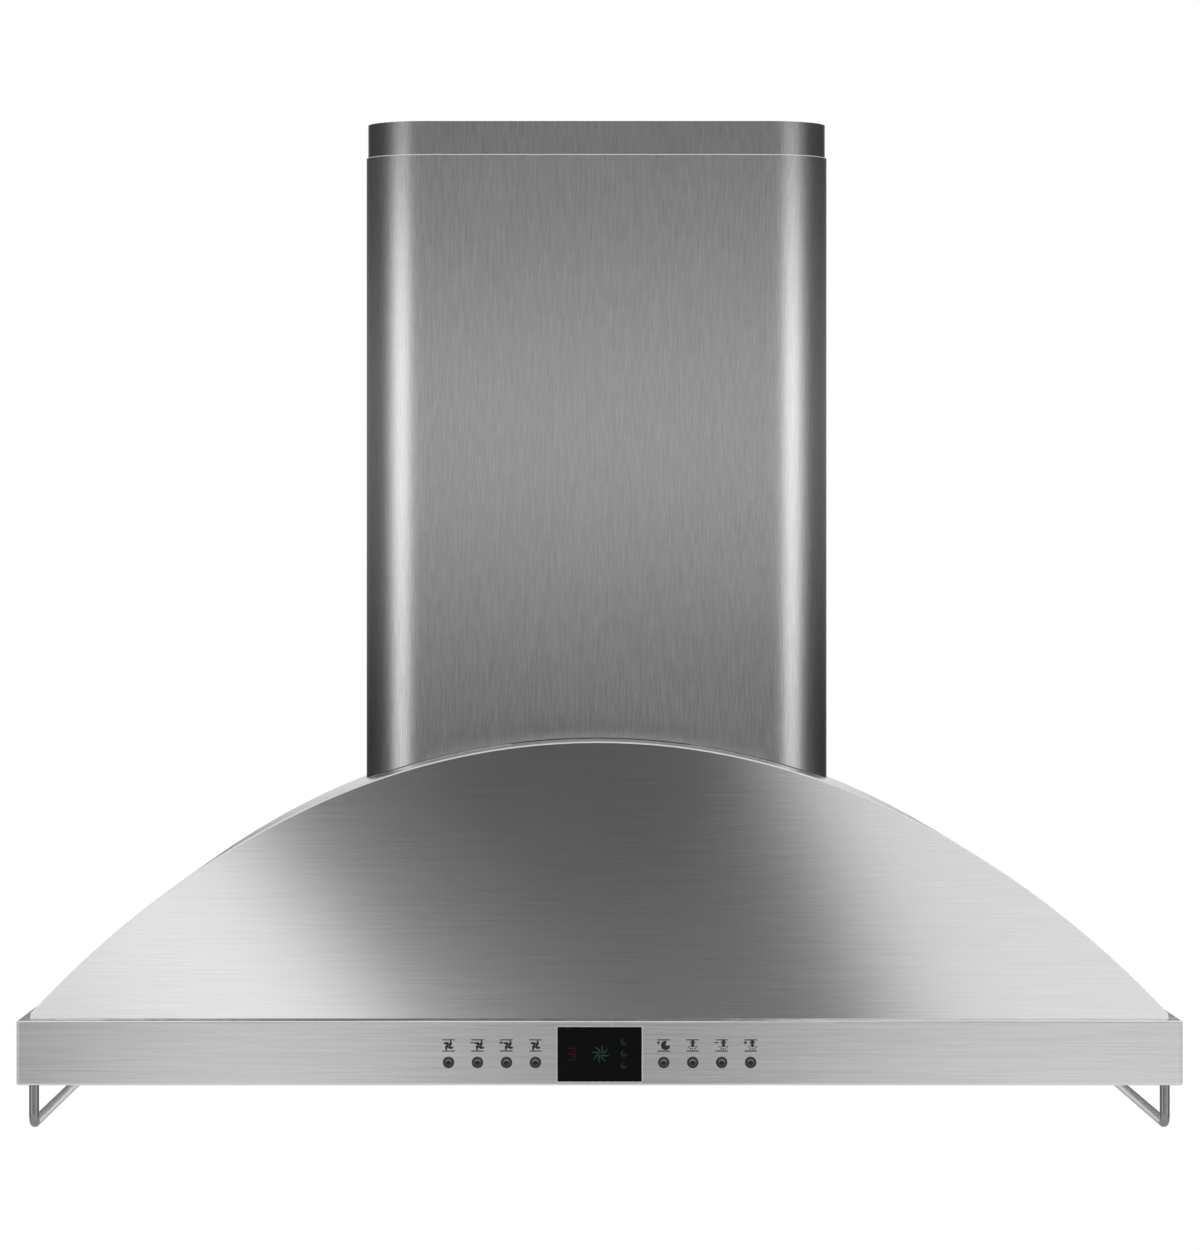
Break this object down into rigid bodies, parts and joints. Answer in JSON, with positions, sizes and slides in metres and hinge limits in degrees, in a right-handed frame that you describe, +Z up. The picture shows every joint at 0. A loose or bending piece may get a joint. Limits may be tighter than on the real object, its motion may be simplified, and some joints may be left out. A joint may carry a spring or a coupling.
{
  "type": "wall range hood",
  "caption": "Wall chimney range hood: arched brushed steel canopy with a leaning front, telescoping duct cover, button controls, baffle filters and utensil rails.",
  "frame": {"origin": "on the wall plane, at the centre of the hood's lower rear edge, level with the lower edge of the rim", "axes": "+X to the right as seen from the front, +Y into the wall, +Z up; the front faces -Y"},
  "size_m": [0.9, 0.6016, 0.8117],
  "materials": {
    "shell_steel": "fine brushed grain, satin",
    "liner_steel": "brushed, flat sheet",
    "zinc_steel": "zinc-coated sheet, faint spangle",
    "fixing_steel": "bright zinc plated",
    "rail_chrome": "polished round rod",
    "ring_black": "smooth, half gloss",
    "display_glass": "black printed glass",
    "frame_metal": "bright narrow bezel",
    "board_green": "solder mask",
    "box_plastic": "fine moulded texture",
    "bezel_metal": "satin chrome",
    "lens_glass": "frosted inside",
    "reflector_metal": "spun reflector",
    "bulb_glass": "clear capsule",
    "motor_metal": "cast, matt",
    "collar_plastic": "moulded",
    "transformer_metal": "varnished core",
    "capacitor_plastic": "smooth can",
    "wheel_plastic": "moulded",
    "flap_plastic": "moulded",
    "filter_steel": "brushed frame",
    "baffle_steel": "bright rolled channels",
    "magnet_metal": "nickel plated",
    "handle_steel": "polished wire",
    "button_metal": "polished dome"
  },
  "bodies": {
    "hood": {"rim": "shell_steel", "canopy_arch": "shell_steel", "canopy_front": "shell_steel", "back_panel": "zinc_steel", "underside_panel": "liner_steel", "screws": "fixing_steel", "lower_duct_cover": "shell_steel", "cover_strap": "zinc_steel", "rail_left": "rail_chrome", "rail_right": "rail_chrome", "rail_nuts": "fixing_steel", "button_rings": "ring_black", "display_window": "display_glass", "display_frame": "frame_metal", "control_board": "board_green", "control_box": "box_plastic", "control_box_lid": "box_plastic", "lamp_bezel_left": "bezel_metal", "lamp_bezel_right": "bezel_metal", "lamp_lens_left": "lens_glass", "lamp_lens_right": "lens_glass", "lamp_housings": "reflector_metal", "lamp_bulbs": "bulb_glass", "blower_housing": "zinc_steel", "inlet_rings": "zinc_steel", "motor": "motor_metal", "motor_bracket": "zinc_steel", "blower_bracket": "zinc_steel", "outlet_box": "zinc_steel", "outlet_collar": "collar_plastic", "damper_rod": "fixing_steel", "transformer": "transformer_metal", "junction_box": "zinc_steel", "junction_box_lid": "zinc_steel", "capacitor": "capacitor_plastic"},
    "upper_cover": {"upper_duct_cover": "shell_steel"},
    "wheel": {"blower_wheel": "wheel_plastic", "motor_shaft": "fixing_steel"},
    "flap_front": {"damper_flap_front": "flap_plastic"},
    "flap_rear": {"damper_flap_rear": "flap_plastic"},
    "filter_left": {"filter_frame_left": "filter_steel", "filter_baffles_left": "baffle_steel", "filter_magnets_left": "magnet_metal"},
    "handle_left": {"filter_handle_left": "handle_steel"},
    "filter_middle": {"filter_frame_middle": "filter_steel", "filter_baffles_middle": "baffle_steel", "filter_magnets_middle": "magnet_metal"},
    "handle_middle": {"filter_handle_middle": "handle_steel"},
    "filter_right": {"filter_frame_right": "filter_steel", "filter_baffles_right": "baffle_steel", "filter_magnets_right": "magnet_metal"},
    "handle_right": {"filter_handle_right": "handle_steel"},
    "push_1": {"button_1": "button_metal"},
    "push_2": {"button_2": "button_metal"},
    "push_3": {"button_3": "button_metal"},
    "push_4": {"button_4": "button_metal"},
    "push_5": {"button_5": "button_metal"},
    "push_6": {"button_6": "button_metal"},
    "push_7": {"button_7": "button_metal"},
    "push_8": {"button_8": "button_metal"}
  },
  "joints": [
    {"name": "upper_cover_slide", "type": "slide", "parent": "hood", "child": "upper_cover", "axis": [0, 0, 1], "range_m": [0, 0.3]},
    {"name": "wheel_spin", "type": "hinge", "parent": "hood", "child": "wheel", "pos_m": [0, -0.108, 0.3], "axis": [1, 0, 0], "continuous": true},
    {"name": "flap_front_swing", "type": "hinge", "parent": "hood", "child": "flap_front", "pos_m": [0, -0.118, 0.495], "axis": [-1, 0, 0], "range_deg": [0, 80]},
    {"name": "flap_rear_swing", "type": "hinge", "parent": "hood", "child": "flap_rear", "pos_m": [0, -0.118, 0.495], "axis": [1, 0, 0], "range_deg": [0, 80]},
    {"name": "filter_swing_left", "type": "hinge", "parent": "hood", "child": "filter_left", "pos_m": [-0.276, -0.0805, 0.0033], "axis": [1, 0, 0], "range_deg": [0, 70]},
    {"name": "handle_swing_left", "type": "hinge", "parent": "filter_left", "child": "handle_left", "pos_m": [-0.276, -0.4415, -0.0004], "axis": [-1, 0, 0], "range_deg": [0, 100]},
    {"name": "filter_swing_middle", "type": "hinge", "parent": "hood", "child": "filter_middle", "pos_m": [0, -0.0805, 0.0033], "axis": [1, 0, 0], "range_deg": [0, 70]},
    {"name": "handle_swing_middle", "type": "hinge", "parent": "filter_middle", "child": "handle_middle", "pos_m": [0, -0.4415, -0.0004], "axis": [-1, 0, 0], "range_deg": [0, 100]},
    {"name": "filter_swing_right", "type": "hinge", "parent": "hood", "child": "filter_right", "pos_m": [0.276, -0.0805, 0.0033], "axis": [1, 0, 0], "range_deg": [0, 70]},
    {"name": "handle_swing_right", "type": "hinge", "parent": "filter_right", "child": "handle_right", "pos_m": [0.276, -0.4415, -0.0004], "axis": [-1, 0, 0], "range_deg": [0, 100]},
    {"name": "button_press_1", "type": "slide", "parent": "hood", "child": "push_1", "axis": [0, 1, 0], "range_m": [0, 0.0012], "stiffness_N_per_m": 1500, "springref_m": -0.0008},
    {"name": "button_press_2", "type": "slide", "parent": "hood", "child": "push_2", "axis": [0, 1, 0], "range_m": [0, 0.0012], "stiffness_N_per_m": 1500, "springref_m": -0.0008},
    {"name": "button_press_3", "type": "slide", "parent": "hood", "child": "push_3", "axis": [0, 1, 0], "range_m": [0, 0.0012], "stiffness_N_per_m": 1500, "springref_m": -0.0008},
    {"name": "button_press_4", "type": "slide", "parent": "hood", "child": "push_4", "axis": [0, 1, 0], "range_m": [0, 0.0012], "stiffness_N_per_m": 1500, "springref_m": -0.0008},
    {"name": "button_press_5", "type": "slide", "parent": "hood", "child": "push_5", "axis": [0, 1, 0], "range_m": [0, 0.0012], "stiffness_N_per_m": 1500, "springref_m": -0.0008},
    {"name": "button_press_6", "type": "slide", "parent": "hood", "child": "push_6", "axis": [0, 1, 0], "range_m": [0, 0.0012], "stiffness_N_per_m": 1500, "springref_m": -0.0008},
    {"name": "button_press_7", "type": "slide", "parent": "hood", "child": "push_7", "axis": [0, 1, 0], "range_m": [0, 0.0012], "stiffness_N_per_m": 1500, "springref_m": -0.0008},
    {"name": "button_press_8", "type": "slide", "parent": "hood", "child": "push_8", "axis": [0, 1, 0], "range_m": [0, 0.0012], "stiffness_N_per_m": 1500, "springref_m": -0.0008}
  ]
}
